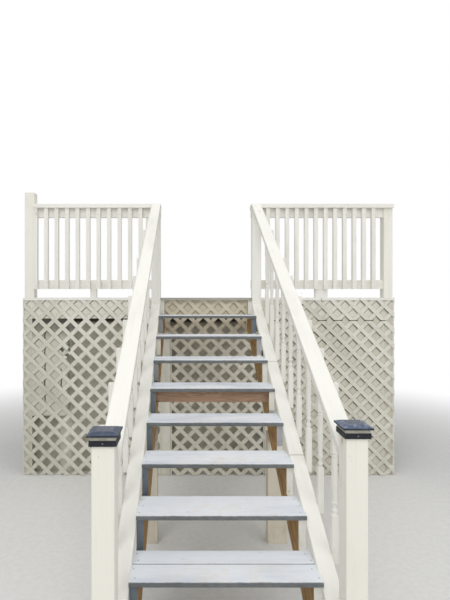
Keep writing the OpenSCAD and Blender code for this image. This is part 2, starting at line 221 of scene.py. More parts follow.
@dataclass(frozen=True)
class Surface:
    """What a finish shows at a point: its colour, roughness and height in metres."""

    colour: "Value | Colour"
    roughness: "Value | float"
    height: "Value | float"

    def under(self, coat: "Surface", cover: "Value | float") -> "Surface":
        """This surface with another one over it, which hides it so far, from 0 to 1."""
        return Surface(
            self.colour.nodes.mix(cover, self.colour, coat.colour),
            self.roughness + (coat.roughness - self.roughness) * cover,
            self.height + (coat.height - self.height) * cover,
        )

    def soiled(self, colour: "Value | Colour", depth: float = 0.0,
               rougher: float = 0.0) -> "Surface":
        """This surface in another colour, sunk so many metres and roughened by so much."""
        roughness = self.roughness + rougher if rougher else self.roughness
        return Surface(colour, roughness, self.height - depth if depth else self.height)


class Graph(Nodes):
    """The nodes of one material."""

    def __init__(self, name: str) -> None:
        """Starts an empty material.

        Args:
            name: The material's name.
        """
        self.material = bpy.data.materials.new(name)
        self.material.use_nodes = True
        super().__init__(self.material.node_tree)
        self.place = self.node("ShaderNodeTexCoord", output="Object")
        self.x, self.y, self.z = self.parts(self.place)
        self.facing = self.parts(self.node("ShaderNodeNewGeometry", output="Normal"))

    def parts(self, vector: Value) -> tuple[Value, Value, Value]:
        """Splits a vector into its three parts."""
        first = self.node("ShaderNodeSeparateXYZ", inputs={0: vector})
        return first, self.other(first, 1), self.other(first, 2)

    def mix(self, factor: "Value | float", low: "Value | Colour",
            high: "Value | Colour") -> Value:
        """Blends two colours, with as much of the second as the factor says, 0 to 1."""
        return self.node("ShaderNodeMix", {"data_type": "RGBA"}, {0: factor, 6: low, 7: high}, 2)

    def layers(self, base: "Value | Colour",
               *coats: "tuple[Value | float, Value | Colour]") -> Value:
        """Lays colours over a first one.

        Args:
            base: The first colour.
            coats: How far each next one covers what is under it, 0 to 1, and its colour.

        Returns:
            The blend.
        """
        for cover, colour in coats:
            base = self.mix(cover, base, colour)
        return base

    def noise(self, vector: Value, scale: float = 1.0, detail: float = 3.0,
              roughness: float = 0.55, distortion: float = 0.0) -> Value:
        """Cloudy noise, 0 to 1, with so many finer layers of such strength, pulled about so far."""
        inputs = {"Vector": vector, "Scale": scale, "Detail": detail,
                  "Roughness": roughness, "Distortion": distortion}
        return self.node("ShaderNodeTexNoise", inputs=inputs, output="Fac")

    def chance(self, number: Value) -> Value:
        """A random number, 0 to 1, for each whole number."""
        return self.node("ShaderNodeTexWhiteNoise", {"noise_dimensions": "1D"}, {"W": number})

    def seam(self, value: Value, at: float, width: float) -> Value:
        """1 on a thin line of some width where a coordinate has a value, and 0 off it."""
        return (value - at).size().ramp(width * 0.5, width * 0.25)

    def board(self, grain: Grain) -> Board:
        """Board coordinates for a way of the grain.

        Args:
            grain: Which way the boards run.

        Returns:
            The coordinates.
        """
        x, y, z = self.x, self.y, self.z
        plain = {Grain.ACROSS: (x, y, z), Grain.INTO: (y, x, z), Grain.UP: (z, x, y)}
        if grain in plain:
            return Board(self, *plain[grain])
        if grain is Grain.SLATS:
            half = math.sqrt(0.5)
            rising, falling = (x + z) * half, (z - x) * half
            front = (y - frame_y(LATTICE_MIDDLE)).ramp(0.0002, -0.0002)
            along = rising + (falling - rising) * front
            return Board(self, along, falling + (rising - falling) * front, y)
        angle = STAIR_SLOPE if grain is Grain.STAIR else HANDRAIL_SLOPE
        cosine, sine = math.cos(angle), math.sin(angle)
        return Board(self, y * cosine + z * sine, x, z * cosine - y * sine)

    def any_of(self, masks: list[Value]) -> Value:
        """The largest of several masks."""
        widest = masks[0]
        for mask in masks[1:]:
            widest = widest.most(mask)
        return widest

    def end_grain(self, grain: Grain) -> "Value | float":
        """1 on the sawn ends of the boards."""
        axis = {Grain.ACROSS: 0, Grain.INTO: 1, Grain.UP: 2}.get(grain)
        return self.facing[axis].size().ramp(0.7, 0.9) if axis is not None else 0.0

    def finish(self, surface: Surface, **sockets: float) -> bpy.types.Material:
        """Joins a surface to the shader and gives the material.

        Args:
            surface: What the finish shows.
            sockets: Plain numbers for the shader's other sockets, with _ for spaces.

        Returns:
            The finished material.
        """
        bump = {"Strength": 0.8, "Distance": 1.0, "Height": surface.height}
        normal = self.node("ShaderNodeBump", inputs=bump, output="Normal")
        plain = {key.replace("_", " "): value for key, value in sockets.items()}
        shader = self.node("ShaderNodeBsdfPrincipled", inputs={
            "Base Color": surface.colour, "Roughness": surface.roughness, "Normal": normal,
            **plain})
        self.end("Material", shader)
        return self.material


@dataclass(frozen=True)
class Knots:
    """Knots scattered over a board."""

    often: float = 0.35
    spacing: float = 0.34
    rows: float = 0.12
    reach: float = 0.11

    def masks(self, board: Board) -> tuple[Value, Value]:
        """Where the knots are.

        Args:
            board: The board's coordinates.

        Returns:
            The knots' hearts, and the wider swirl of grain round them, both 0 to 1.
        """
        graph = board.graph
        cells = {"Vector": board.stretched(1 / self.spacing, 1 / self.rows), "Scale": 1.0}
        distance = graph.node("ShaderNodeTexVoronoi", inputs=cells, output="Distance")
        pick = graph.node("ShaderNodeSeparateColor", inputs={0: graph.other(distance, "Color")})
        chosen = pick.above(1 - self.often)
        heart = distance.ramp(self.reach, self.reach * 0.35) * chosen
        return heart, distance.ramp(self.reach * 3, 0.0) * chosen


@dataclass(frozen=True)
class BareTimber:
    """Sawn softwood with its growth rings, fine fibres and knots."""

    pale: Colour
    dark: Colour
    weathered: Colour
    grey: float = 0.25
    knots: Knots = Knots()

    def surface(self, graph: Graph, grain: Grain) -> Surface:
        """Makes the wood on a graph.

        Args:
            graph: The material's nodes.
            grain: Which way the boards run.

        Returns:
            The wood's surface.
        """
        board = graph.board(grain)
        heart, swirl = self.knots.masks(board)
        figure = board.noise(0.9, 9.0, 2.0, 0.5, 0.6) + swirl * 0.12
        rings = (figure * 95.0).sine() * 0.5 + 0.5
        fibres = board.noise(9.0, 420.0, 2.0, 0.6)
        broad = board.noise(2.0, 7.0)
        tone = rings * 0.5 + fibres * 0.5
        knot = tuple(v * 0.35 for v in self.dark[:3]) + (1.0,)
        colour = graph.layers(
            self.pale,
            (tone.ramp(0.2, 0.85), self.dark),
            (broad.ramp(0.45, 0.75) * self.grey, self.weathered),
            (heart * 0.85, knot),
            (graph.end_grain(grain) * 0.45, self.dark))
        return Surface(colour, fibres * 0.15 + 0.7, (rings * 0.25 + fibres * 0.5) * 0.0006)


@dataclass(frozen=True)
class Paint:
    """Weathered paint brushed on timber, with grain, knots and worn places showing."""

    coat: Colour
    grime: Colour
    stain: Colour
    timber: Colour
    soiled: float = 0.5
    grainy: float = 0.35
    worn: float = 0.25
    gloss: float = 0.42
    knots: Knots = Knots()
    knotty: float = 0.5

    def surface(self, graph: Graph, grain: Grain, tint: Value | None = None) -> Surface:
        """Makes the paint on a graph.

        Args:
            graph: The material's nodes.
            grain: Which way the boards run.
            tint: A random number for each board, which sets its tone.

        Returns:
            The paint's surface.
        """
        board = graph.board(grain)
        heart, swirl = self.knots.masks(board)
        clouds = board.noise(1.3, 4.5, 4.0, 0.6)
        streaks = board.noise(2.6, 95.0, 3.0, 0.6, 0.2)
        brush = board.noise(7.0, 520.0, 2.0, 0.5)
        flakes = board.noise(16.0, 85.0, 4.0, 0.7)
        splashes = graph.noise(graph.place, 9.0, 4.0, 0.65).ramp(0.35, 0.7)
        low = graph.z.ramp(0.55, 0.02) * splashes
        soil = clouds.ramp(0.45, 0.8) * self.soiled + low * 0.5
        if tint is not None:
            soil = soil + tint * 0.22 * self.soiled
        chipped = flakes.ramp(0.735 - self.worn * 0.12, 0.75 - self.worn * 0.1)
        colour = graph.layers(
            self.coat,
            (soil, self.grime),
            (streaks.ramp(0.55, 0.8) * self.grainy, self.grime),
            ((heart * 0.9 + swirl * 0.25) * self.knotty, self.stain),
            (chipped * 0.8, self.timber),
            (graph.end_grain(grain) * brush.ramp(0.3, 0.8) * 0.35, self.grime))
        height = (streaks * 0.45 + brush * 0.3 - chipped * 0.35 + heart * 0.3) * 0.0009
        return Surface(colour, brush * 0.12 + chipped * 0.25 + (1 - self.gloss), height)


WHITE = Paint(
    shade(238, 236, 228), shade(208, 206, 194), shade(188, 182, 166), shade(178, 160, 132),
    knots=Knots(0.4, 0.3, 0.1, 0.09), knotty=0.65)
POST_WHITE = Paint(
    shade(240, 237, 226), shade(214, 209, 193), shade(186, 158, 120), shade(170, 142, 108),
    soiled=0.45, knots=Knots(0.4, 0.26, 0.11, 0.09), knotty=0.75)
SKIRT_WHITE = Paint(
    shade(226, 223, 211), shade(192, 189, 174), shade(176, 165, 142), shade(128, 116, 96),
    soiled=0.75, grainy=0.5, worn=0.5, gloss=0.3, knotty=0.3)
BACK_WHITE = Paint(
    shade(204, 200, 186), shade(172, 167, 151), shade(160, 148, 126), shade(122, 110, 92),
    soiled=0.8, grainy=0.45, worn=0.4, gloss=0.2, knotty=0.4)
CREAM = Paint(
    shade(228, 220, 202), shade(198, 188, 166), shade(182, 158, 122), shade(168, 140, 104),
    gloss=0.3)
DECK_GREY = Paint(
    shade(238, 241, 245), shade(182, 191, 205), shade(184, 176, 168), shade(160, 148, 132),
    soiled=0.7, grainy=0.6, worn=0.55, gloss=0.36, knotty=0.4)
# Slate, mid slate and lavender: the riser cuts' grey paint as painted shade and light
SLATE = Paint(
    shade(112, 121, 130), shade(90, 98, 105), shade(80, 82, 82), shade(140, 122, 96),
    soiled=0.5, grainy=0.5, worn=0.5, gloss=0.35)
MID_SLATE = Paint(
    shade(150, 153, 156), shade(122, 125, 128), shade(112, 112, 114), shade(150, 132, 106),
    soiled=0.6, grainy=0.5, worn=0.55, gloss=0.35)
LAVENDER = Paint(
    shade(180, 182, 187), shade(152, 154, 160), shade(150, 148, 150), shade(150, 132, 106),
    soiled=0.6, grainy=0.5, worn=0.55, gloss=0.35)
NOSING_GREY = Paint(
    shade(78, 82, 81), shade(58, 61, 60), shade(64, 64, 60), shade(150, 142, 128),
    soiled=0.7, grainy=0.6, worn=0.7, gloss=0.25)
MIDDLE_EDGE = Paint(
    shade(172, 168, 158), shade(138, 132, 120), shade(120, 112, 98), shade(120, 106, 86),
    soiled=0.8, grainy=0.6, worn=0.6, gloss=0.3)
OCHRE_TIMBER = BareTimber(shade(196, 158, 104), shade(152, 112, 64), shade(146, 126, 98))
PINK_TIMBER = BareTimber(
    shade(182, 150, 124), shade(160, 128, 104), shade(140, 116, 96), grey=0.6)
TREATED_TIMBER = BareTimber(
    shade(186, 170, 136), shade(140, 122, 88), shade(148, 142, 128), grey=0.6)
# Painted shadow behind the edges of the lattice's openings, and the dark inside the skirt's gaps
OPENING_SHADOW, GAP_DARK = shade(104, 99, 84), shade(58, 56, 50)
# The bare steel of the treads' and the deck's screws: its colour, its rust and their shares
BARE_STEEL = (shade(128, 128, 124), shade(110, 78, 56), 0.5, 0.7)


@dataclass(frozen=True)
class Metal:
    """A worn nail or screw head, rusted in places."""

    name: str
    bright: Colour
    rust: Colour
    rusty: float
    metallic: float = 0.0

    def finish(self) -> bpy.types.Material:
        """Makes the metal's material.

        Returns:
            The material.
        """
        graph = Graph(self.name)
        patches = graph.noise(graph.place, 310.0, 3.0, 0.7)
        rusted = patches.ramp(0.75 - self.rusty * 0.4, 0.9 - self.rusty * 0.4)
        colour = graph.mix(rusted, self.bright, self.rust)
        surface = Surface(colour, rusted * 0.35 + 0.45, patches * 0.0002)
        return graph.finish(surface, Metallic=self.metallic)


def coated(name: str, coat: Paint | BareTimber, grain: Grain,
           boards: tuple[int, float, float] | None = None) -> bpy.types.Material:
    """Makes the material of boards that all wear one coat.

    Args:
        name: The finish's name.
        coat: The paint or the bare wood.
        grain: Which way the boards run.
        boards: Axis number, pitch and first edge in metres, where a row of painted boards
            has tones of its own.

    Returns:
        The material.
    """
    graph = Graph(f"{name}_{grain.name.lower()}")
    if boards is None:
        return graph.finish(coat.surface(graph, grain))
    axis, pitch, first = boards
    tint = graph.chance((((graph.x, graph.y, graph.z)[axis] - first) / pitch).floor())
    return graph.finish(coat.surface(graph, grain, tint))


def dress(material: bpy.types.Material, *nodes: str) -> None:
    """Gives nodes of the frame a material in every slot.

    Args:
        material: The material.
        nodes: The nodes' names.
    """
    for node in nodes:
        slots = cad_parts[node].data.materials
        slots.clear()
        slots.append(material)
        log.info("dressed %s in %s", node, material.name)


def deselect() -> None:
    """Leaves object mode with nothing selected."""
    if bpy.context.object and bpy.context.object.mode != "OBJECT":
        bpy.ops.object.mode_set(mode="OBJECT")
    bpy.ops.object.select_all(action="DESELECT")


def select_faces(piece: bpy.types.Object, up: float) -> None:
    """Selects, in edit mode, the faces that look up, and no others.

    Args:
        piece: The mesh in edit mode.
        up: How far up a face has to look, as the height of its normal.
    """
    bpy.ops.mesh.select_mode(type="FACE")
    bpy.ops.mesh.select_all(action="DESELECT")
    mesh = bmesh.from_edit_mesh(piece.data)
    for face in mesh.faces:
        face.select_set(face.normal.z > up)
    bmesh.update_edit_mesh(piece.data)


def block(size: Vector, middle: Vector, round_off: float, segments: int) -> bpy.types.Object:
    """Models a block with rounded edges.

    Args:
        size: Its length each way, in metres.
        middle: Where its middle lies.
        round_off: How far its edges are rounded, in metres.
        segments: How many faces each rounding has.

    Returns:
        The block, with its place in its mesh.
    """
    deselect()
    bpy.ops.mesh.primitive_cube_add(size=1.0, location=middle)
    bpy.ops.transform.resize(value=size)
    bpy.ops.object.transform_apply(location=True, rotation=True, scale=True)
    bpy.ops.object.mode_set(mode="EDIT")
    bpy.ops.mesh.select_all(action="SELECT")
    bpy.ops.mesh.bevel(offset=round_off, segments=segments, affect="EDGES")
    bpy.ops.object.mode_set(mode="OBJECT")
    return bpy.context.object


def hang(piece: bpy.types.Object, material: bpy.types.Material) -> None:
    """Gives a new piece its finish and its body.

    Args:
        piece: The piece.
        material: Its material.
    """
    piece.data.materials.clear()
    piece.data.materials.append(material)
    deselect()
    piece.select_set(True)
    bpy.context.view_layer.objects.active = piece
    bpy.ops.object.shade_smooth_by_angle(angle=math.radians(40))
    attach(piece, "root")
    log.info("placed %s", piece.name)


class Fastener:
    """A nail, screw or staple that is modelled once and copied to each of its places."""

    def model(self) -> bpy.types.Object:
        """Models one, standing on the frame's origin and looking up."""
        raise NotImplementedError

    def drive(self, name: str, places: Spots) -> bpy.types.Object:
        """Puts a copy at each place and joins them.

        Args:
            name: The piece's name.
            places: Where each one is, and the way that it looks.

        Returns:
            The joined fasteners.
        """
        first = self.model()
        copies = []
        for place, way in places:
            copy = first.copy()
            copy.data = first.data.copy()
            turn = UP.rotation_difference(way).to_matrix().to_4x4()
            copy.matrix_world = Matrix.Translation(place) @ turn
            bpy.context.scene.collection.objects.link(copy)
            copies.append(copy)
        bpy.data.objects.remove(first)
        deselect()
        for copy in copies:
            copy.select_set(True)
        bpy.context.view_layer.objects.active = copies[0]
        bpy.ops.object.join()
        joined = bpy.context.object
        bpy.ops.object.transform_apply(location=True, rotation=True, scale=True)
        joined.name = joined.data.name = name
        return joined


@dataclass(frozen=True)
class Head(Fastener):
    """The head of a nail or a screw, sizes in millimetres."""

    radius: float
    proud: float
    sunk: float = 0.8
    recess: float = 0.0

    def model(self) -> bpy.types.Object:
        """Models one head standing on the frame's origin, looking up.

        Returns:
            The head.
        """
        deselect()
        depth = (self.proud + self.sunk) * MM
        bpy.ops.mesh.primitive_cylinder_add(vertices=10, radius=self.radius * MM, depth=depth,
                                            location=(0, 0, self.proud * MM - depth / 2))
        head = bpy.context.object
        bpy.ops.object.transform_apply(location=True, rotation=True, scale=True)
        bpy.ops.object.mode_set(mode="EDIT")
        select_faces(head, 0.9)
        bpy.ops.mesh.bevel(offset=self.radius * 0.3 * MM, segments=2, affect="EDGES")
        select_faces(head, 0.95)
        if self.recess:
            down = {"value": (0, 0, -self.recess * MM)}
            bpy.ops.mesh.inset(thickness=self.radius * 0.22 * MM)
            bpy.ops.mesh.extrude_region_move(TRANSFORM_OT_translate=down)
        bpy.ops.object.mode_set(mode="OBJECT")
        return head


@dataclass(frozen=True)
class Staple(Fastener):
    """The crown of a wire staple, sizes in millimetres."""

    crown: float = 11.0
    wire: float = 1.4

    def model(self) -> bpy.types.Object:
        """Models one crown with rounded edges lying on the frame's origin."""
        size = Vector((self.crown * MM, self.wire * MM, self.wire * MM))
        return block(size, Vector((0, 0, 0)), self.wire * 0.3 * MM, 1)


@dataclass(frozen=True)
class Flight:
    """Treads, stringers, the spreader and the props, sizes in millimetres."""

    treads: int = 10
    # The lowest treads, which are each made of two boards
    split_treads: int = 3
    # A level between the ground and the lowest tread
    first_gap: float = 50.0
    screw_x: float = 438.0
    stagger: float = 7.0
    # How far behind a tread's front edge its screws are
    split_screws: tuple[float, ...] = (35.0, 105.0, 175.0, 232.0)
    screws_behind: tuple[float, ...] = (42.0, 118.0, 192.0)
    screw_head: Head = Head(4.2, 0.4, recess=0.9)
    # Painted shade and sunlight on the riser cuts of some steps, from a lowest step to a highest
    left_cut_light_and_shade: tuple[tuple[Paint, int, int], ...] = (
        (MID_SLATE, 8, 8), (SKIRT_WHITE, 9, 9), (MID_SLATE, 10, 10), (WHITE, 11, 11))
    right_cut_light_and_shade: tuple[tuple[Paint, int, int], ...] = (
        (LAVENDER, 6, 6), (LAVENDER, 9, 9), (SLATE, 10, 10))

    def tread_finish(self) -> bpy.types.Material:
        """Pale blue-grey tops, worn pale where feet land, with darker chipped nosings.

        Returns:
            The material.
        """
        graph = Graph("tread_paint_worn")
        number = ((graph.z - self.first_gap * MM) / (RISE * MM)).floor()
        top = DECK_GREY.surface(graph, Grain.ACROSS, graph.chance(number))
        edge = NOSING_GREY.surface(graph, Grain.ACROSS)
        going = GOING * MM
        behind = ((graph.y - frame_y(FIRST_TREAD_FRONT)) / going).fraction() * going
        patchy = graph.noise(graph.place, 11.0, 4.0, 0.65)
        walked = graph.x.size().ramp(0.42, 0.12) * behind.ramp(0.24, 0.06)
        scoured = graph.mix(patchy.ramp(0.3, 0.8), shade(243, 239, 232), shade(216, 208, 198))
        worn = Surface(scoured, top.roughness + 0.12, top.height)
        top = top.under(worn, walked * patchy.ramp(0.35, 0.65) * 0.55)
        ragged = graph.board(Grain.ACROSS).noise(26.0, 60.0, 3.0, 0.7)
        front = graph.facing[1].ramp(-0.35, -0.75)
        lip = behind.ramp(0.008, 0.003) * ragged.ramp(0.3, 0.75) * 0.8
        below = graph.facing[2].ramp(-0.3, -0.7)
        chipped = (front * (0.78 + ragged * 0.22)).most(lip).most(below * 0.6)
        return graph.finish(top.under(edge, chipped))

    def stringer_finish(self, side: int) -> bpy.types.Material:
        """White outside, bare inside; the riser cuts in painted shade and sunlight, by the step.

        Args:
            side: -1 for the left stringer and 1 for the right one.

        Returns:
            The material.
        """
        left = side < 0
        graph = Graph("stringer_left_finish" if left else "stringer_right_finish")
        bare = OCHRE_TIMBER.surface(graph, Grain.STAIR)
        white = WHITE.surface(graph, Grain.STAIR)
        step = (graph.z - FIRST_TREAD_TOP * MM) / (RISE * MM) + 2.0
        # Left cuts are slate as painted shade, right cuts white as painted sunlight
        cut = (SLATE if left else WHITE).surface(graph, Grain.STAIR)
        for paint, low, high in self.left_cut_light_and_shade if left else self.right_cut_light_and_shade:
            there = step.above(low) * (1 - step.above(high + 1))
            cut = cut.under(paint.surface(graph, Grain.STAIR), there)
        ragged = graph.noise(graph.place, 38.0, 3.0, 0.65)
        outside = (graph.facing[0] * side).ramp(0.3, 0.7)
        inside = (graph.facing[0] * -side).ramp(0.3, 0.7)
        edges = 1 - outside.most(inside)
        surface = bare.under(cut, edges * ragged.ramp(0.22, 0.3))
        return graph.finish(surface.under(white, outside))

    def screws(self) -> Spots:
        """Where the treads are screwed down to the stringers.

        Returns:
            Each screw's place, and the way that it looks.
        """
        places = []
        for number in range(self.treads):
            front, top = FIRST_TREAD_FRONT + GOING * number, FIRST_TREAD_TOP + RISE * number
            depths = self.split_screws if number < self.split_treads else self.screws_behind
            for x in (-self.screw_x, self.screw_x):
                for index, depth in enumerate(depths):
                    aside = x + self.stagger * (-1) ** (index + number)
                    places.append((spot(aside, front + depth, top), UP))
        return places

    def build(self) -> None:
        """Dresses the flight and drives its screws."""
        dress(self.tread_finish(), *(f"tread_{number + 1}" for number in range(self.treads)))
        dress(self.stringer_finish(-1), "stringer_left")
        dress(self.stringer_finish(1), "stringer_right")
        dress(coated("spreader_timber", PINK_TIMBER, Grain.ACROSS), "spreader")
        dress(coated("prop_cream", CREAM, Grain.UP), "props")
        heads = self.screw_head.drive("tread_screws", self.screws())
        hang(heads, Metal("screw_steel", *BARE_STEEL).finish())


@dataclass(frozen=True)
class StairRails:
    """Newels, handrails, bottom rails, spindles and top posts, sizes in millimetres."""

    # Where boards of the right bottom rail meet
    rail_joints: tuple[float, ...] = (-842.0, -1655.0)
    spindles: int = 10
    first_spindle: float = -2420.0
    spindle_pitch: float = 238.0
    spindle_face: float = 578.0
    # From a rail's top face down to its middle, measured upright
    handrail_middle: float = 22.0
    bottom_rail_middle: float = 72.0
    # Each spindle has a nail this far under and over the middle of each rail
    nail_steps: tuple[float, ...] = (-9.0, 11.0)
    nail_stagger: float = 5.0
    # Where the handrails are screwed to what carries them
    screws_back: tuple[float, ...] = (-2560.0, -1500.0, -60.0)
    screws_out: tuple[float, ...] = (480.0, 523.0)
    nail_head: Head = Head(3.4, 0.5)
    screw_head: Head = Head(4.2, 0.3, recess=0.9)

    def bottom_rail_finish(self) -> bpy.types.Material:
        """White paint with the right-hand rail's two butt joints.

        Returns:
            The material.
        """
        graph = Graph("bottom_rail_white")
        surface = WHITE.surface(graph, Grain.STAIR)
        joints = graph.any_of(
            [graph.seam(graph.y, frame_y(y), 0.004) for y in self.rail_joints])
        gap = surface.soiled(shade(92, 88, 80), 0.002, 0.1)
        return graph.finish(surface.under(gap, joints * graph.x.above(0.0) * 0.85))

    @staticmethod
    def handrail_top(y: float) -> float:
        """How high the handrails' top faces are, so far behind the last riser."""
        return RAIL_FOOT + (y - RAIL_FRONT) * RAIL_CLIMB / RAIL_RUN

    def nails(self) -> Spots:
        """Where the spindles are nailed to the two rails, on their outer faces.

        Returns:
            Each nail's place, and the way that it looks.
        """
        places = []
        for side in (-1, 1):
            for index in range(self.spindles):
                y = self.first_spindle + self.spindle_pitch * index
                rail = self.handrail_top(y) - self.handrail_middle
                shoe = DECK_TOP + (y + NOSING) * RISE / GOING - self.bottom_rail_middle
                for z in (level + step for level in (rail, shoe) for step in self.nail_steps):
                    along = y + self.nail_stagger * (-1) ** int(z)
                    places.append((spot(side * self.spindle_face, along, z),
                                   Vector((side, 0, 0))))
        return places

    def screws(self) -> Spots:
        """Where the handrails are screwed down to their posts, on their top faces.

        Returns:
            Each screw's place, and the way that it looks.
        """
        way = Vector((0, -math.sin(HANDRAIL_SLOPE), math.cos(HANDRAIL_SLOPE)))
        return [(spot(side * x, y, self.handrail_top(y)), way)
                for side in (-1, 1) for y in self.screws_back for x in self.screws_out]

    def build(self) -> None:
        """Dresses the stair rails and drives their nails and screws."""
        dress(coated("newel_white", POST_WHITE, Grain.UP), "newel_left", "newel_right")
        dress(coated("post_white", WHITE, Grain.UP), "top_post_left", "top_post_right")
        dress(coated("handrail_white", WHITE, Grain.HANDRAIL), "handrail_left", "handrail_right")
        dress(self.bottom_rail_finish(), "bottom_rail_left", "bottom_rail_right")
        first_edge = self.first_spindle - self.spindle_pitch / 2
        cells = (1, self.spindle_pitch * MM, frame_y(first_edge))
        dress(coated("spindle_white", WHITE, Grain.UP, cells), "spindles_left", "spindles_right")
        painted = Metal("nail_painted", shade(206, 203, 192), shade(150, 118, 88), 0.45).finish()
        hang(self.nail_head.drive("spindle_nails", self.nails()), painted)
        hang(self.screw_head.drive("rail_screws", self.screws()), painted)


@dataclass(frozen=True)
class PostCaps:
    """The newels' caps, each a skirt, a lens and a flat plate, sizes in millimetres."""

    newel_x: float = 501.5
    left_y: float = -2685.5
    right_y: float = -2595.5
    # Half the side of the dark cell in the plate, and the pitch of its ruled lines
    cell: float = 33.0
    line_pitch: float = 16.2
    screw_back: float = 53.0
    screw_height: float = 1246.0
    screw_head: Head = Head(3.6, 1.2, recess=0.8)

    def newels(self) -> tuple[tuple[float, float], ...]:
        """Where the two newels stand, across and behind."""
        return (-self.newel_x, self.left_y), (self.newel_x, self.right_y)

    def plate_finish(self) -> bpy.types.Material:
        """Dusty navy plastic with a dark ruled cell let into each cap's flat top, and painted
        sheen.

        Returns:
            The material.
        """
        graph = Graph("cap_navy_gloss")
        dust = graph.noise(graph.place, 46.0, 5.0, 0.65)
        fine = graph.noise(graph.place, 420.0, 2.0, 0.5)
        rim = graph.facing[2].size().ramp(0.35, 0.15)
        # The right cap is lighter with more pale streaks: painted sheen, with some real dust and
        # scuffs
        right = graph.x.above(0.0)
        scuffs_and_sheen = graph.board(Grain.ACROSS).noise(30.0, 120.0, 3.0, 0.7).ramp(0.52, 0.64)
        colour = graph.layers(
            shade(38, 54, 76),
            (right, shade(66, 78, 104)),
            (rim, shade(34, 40, 50)),
            (dust.ramp(0.46, 0.75) * (right * 0.35 + 0.15), shade(134, 144, 160)),
            (scuffs_and_sheen * (1 - rim) * (right * 0.45 + 0.15), shade(172, 182, 198)))
        surface = Surface(colour, dust * 0.25 + 0.3, fine * 0.0001)
        cells, lines = [], []
        outer, inner = (self.cell + 0.5) * MM, (self.cell - 0.5) * MM
        for x, y in self.newels():
            centre = spot(x, y, 0)
            dx, dy = graph.x - centre.x, graph.y - centre.y
            cells.append(dx.size().ramp(outer, inner) * dy.size().ramp(outer, inner))
            ruled = ((dx / (self.line_pitch * MM) + 0.5).fraction() - 0.5).size()
            lines.append(ruled.ramp(0.05, 0.03) * cells[-1])
        up = graph.facing[2].ramp(0.95, 0.99)
        cell = graph.layers(
            shade(38, 50, 74),
            (graph.any_of(lines) * 0.4, shade(108, 118, 136)),
            (dust.ramp(0.5, 0.75) * 0.3, shade(126, 134, 150)))
        glass = Surface(cell, dust * 0.2 + 0.16, 0.0)
        surface = surface.under(glass, graph.any_of(cells) * up)
        return graph.finish(surface, Specular_IOR_Level=0.4)

    def skirt_finish(self) -> bpy.types.Material:
        """Dark moulded plastic with a fine grain.

        Returns:
            The material.
        """
        graph = Graph("cap_skirt_black")
        dust = graph.noise(graph.place, 60.0, 4.0, 0.6)
        fine = graph.noise(graph.place, 900.0, 2.0, 0.5)
        colour = graph.mix(dust.ramp(0.5, 0.8) * 0.3, shade(30, 34, 41), shade(88, 90, 90))
        surface = Surface(colour, dust * 0.2 + 0.35, fine * 0.00012)
        return graph.finish(surface, Specular_IOR_Level=0.3)

    def lens_finish(self) -> bpy.types.Material:
        """Cream plastic, yellowed in patches.

        Returns:
            The material.
        """
        graph = Graph("cap_lens_cream")
        clouds = graph.noise(graph.place, 35.0, 4.0, 0.6)
        ribs = (graph.z * 2600.0).sine()
        yellowed = clouds.ramp(0.35, 0.75)
        colour = graph.mix(yellowed, shade(190, 185, 173), shade(152, 146, 132))
        return graph.finish(Surface(colour, clouds * 0.2 + 0.3, ribs * 0.00005))

    def screws(self) -> Spots:
        """Where each cap's skirt is screwed to its newel, front and back."""
        return [(spot(x, y + way * self.screw_back, self.screw_height), Vector((0, way, 0)))
                for x, y in self.newels() for way in (-1, 1)]

    def build(self) -> None:
        """Dresses the caps and drives their screws."""
        dress(self.plate_finish(), "post_cap_plates")
        dress(self.skirt_finish(), "post_cap_skirts")
        dress(self.lens_finish(), "post_cap_lenses")
        dark = Metal("cap_screw_steel", shade(120, 122, 126), shade(92, 72, 58), 0.3, 0.8)
        heads = self.screw_head.drive("cap_screws", self.screws())
        hang(heads, dark.finish())


@dataclass(frozen=True)
class Guard:
    """The deck's guard rails: caps, rails, balusters, blocks and end posts, in millimetres."""

    # Each side's first baluster, the pitch to the next and how many there are
    left_row: tuple[float, float, int] = (-1716.0, 105.5, 11)
    right_row: tuple[float, float, int] = (1685.0, -96.5, 12)
    nail_heights: tuple[int, ...] = (1908, 1950, 2632, 2674)
    nail_stagger: float = 6.0
    nail_head: Head = Head(3.6, 0.5)

    def nails(self) -> Spots:
        """Where the balusters are nailed to the rails behind them.

        Returns:
            Each nail's place, and the way that it looks.
        """
        places = []
        for first, pitch, count in (self.left_row, self.right_row):
            for index in range(count):
                for z in self.nail_heights:
                    aside = self.nail_stagger * (-1) ** (index + z // 10)
                    places.append((spot(first + pitch * index + aside, 0, z), FORWARD))
        return places

    def build(self) -> None:
        """Dresses the guard and drives its nails."""
        dress(coated("guard_white", WHITE, Grain.ACROSS),
              "guard_cap_left", "guard_cap_right", "guard_rails", "guard_blocks")
        for side, (first, pitch, _) in (("left", self.left_row), ("right", self.right_row)):
            cells = (0, abs(pitch) * MM, frame_x(first - pitch / 2))
            dress(coated(f"baluster_{side}_white", WHITE, Grain.UP, cells),
                  f"guard_balusters_{side}")
        dress(coated("deck_post_white", POST_WHITE, Grain.UP), "porch_post", "end_post")
        painted = Metal("guard_nail_painted", shade(188, 184, 170), shade(134, 104, 80), 0.5)
        heads = self.nail_head.drive("baluster_nails", self.nails())
        hang(heads, painted.finish())


